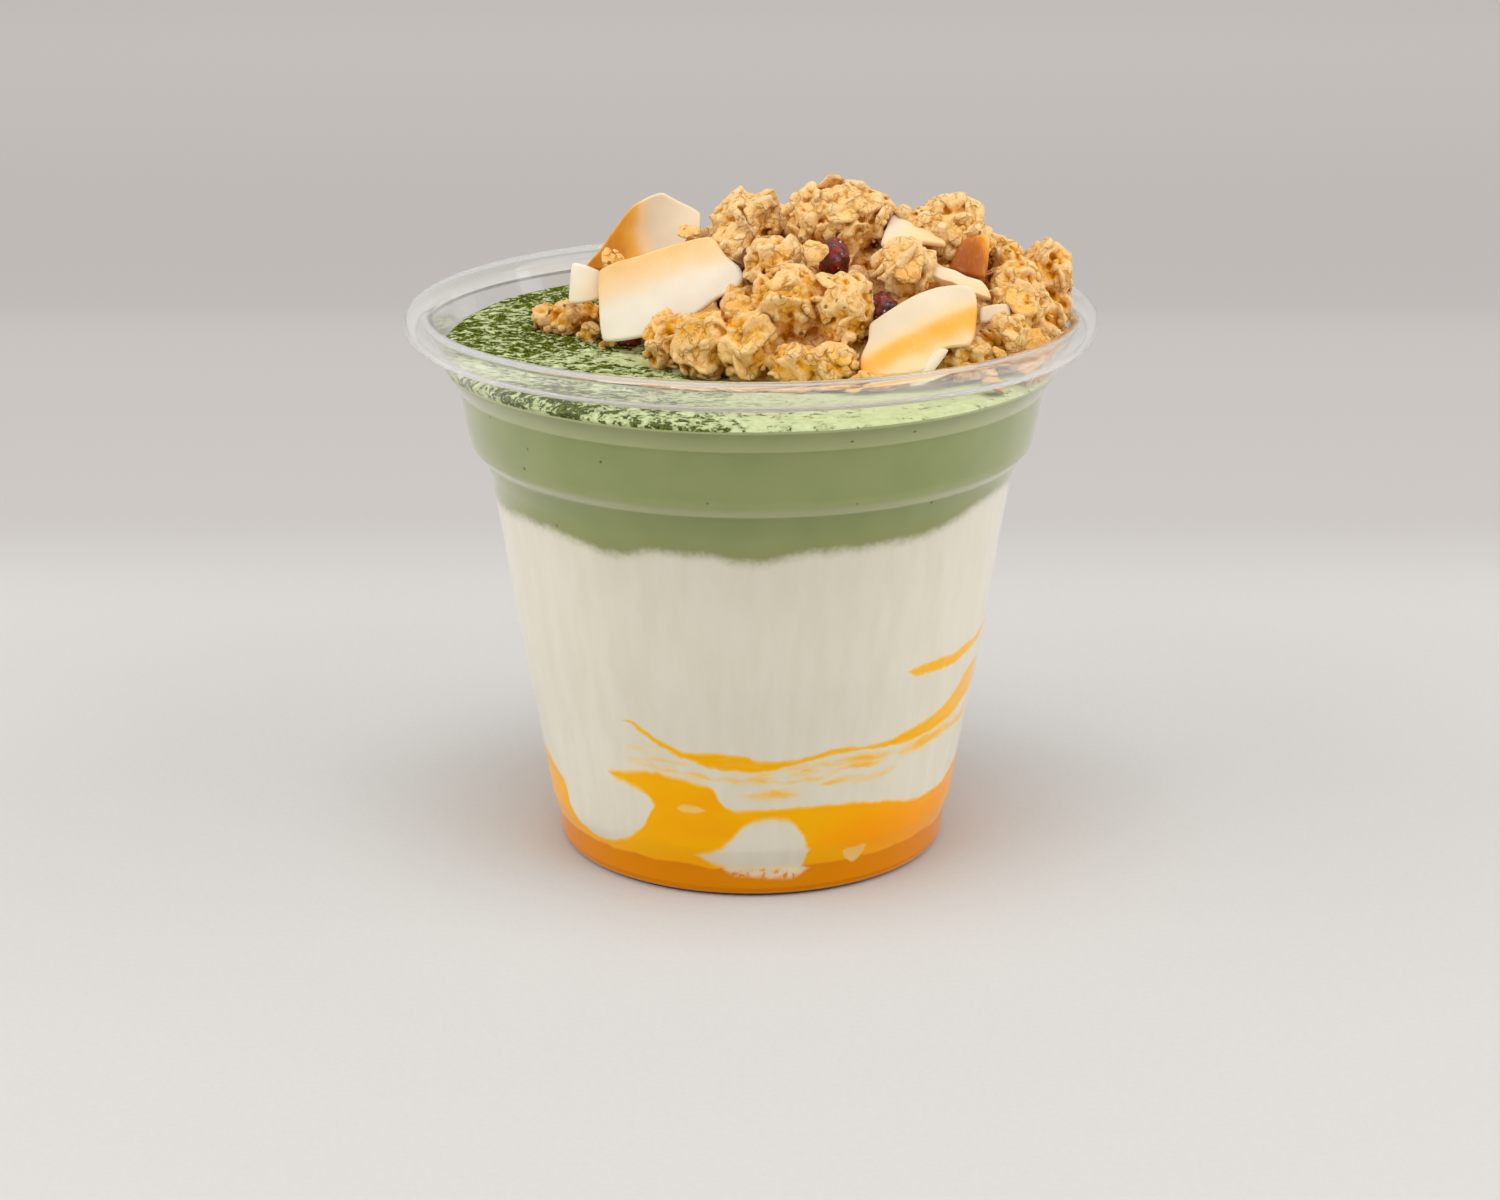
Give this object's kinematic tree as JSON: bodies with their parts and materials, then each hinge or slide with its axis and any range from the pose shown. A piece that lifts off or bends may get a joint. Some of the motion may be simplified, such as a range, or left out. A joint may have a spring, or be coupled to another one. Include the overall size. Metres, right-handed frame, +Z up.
{
  "type": "layered parfait in a clear cup",
  "caption": "Parfait in a clear flared cup: fruit puree, yogurt and matcha cream in layers, topped with granola clusters, coconut chips and dried berries.",
  "frame": {"origin": "centre of the cup's base, on the surface it stands on", "axes": "+Z up along the cup's axis; -Y is the side shown in the picture"},
  "size_m": [0.095, 0.095, 0.0941],
  "materials": {
    "clear_plastic": "clear thermoformed plastic sheet, smooth and glossy",
    "fruit_puree": "smooth wet yellow-amber fruit puree, slightly translucent",
    "yogurt": "smooth thick white yogurt with streaks of puree",
    "matcha_cream": "soft pale green cream dusted with dark green powder",
    "granola": "baked oat clusters, rough and lumpy, golden brown",
    "coconut": "thin dried coconut chips, cream with toasted edges",
    "dried_berry": "dark red dried fruit, wrinkled and a little shiny"
  },
  "bodies": {
    "root": {"cup": "clear_plastic", "fruit_puree": "fruit_puree", "yogurt": "yogurt", "matcha_cream": "matcha_cream", "granola_heap": "granola", "granola_cluster_left": "granola", "coconut_chip_1": "coconut", "coconut_chip_2": "coconut", "coconut_chip_3": "coconut", "coconut_chip_4": "coconut", "coconut_chip_5": "coconut", "coconut_chip_6": "coconut", "coconut_chip_7": "coconut", "coconut_chip_8": "coconut", "coconut_chip_9": "coconut", "dried_berry_1": "dried_berry", "dried_berry_2": "dried_berry", "dried_berry_3": "dried_berry"}
  },
  "joints": []
}
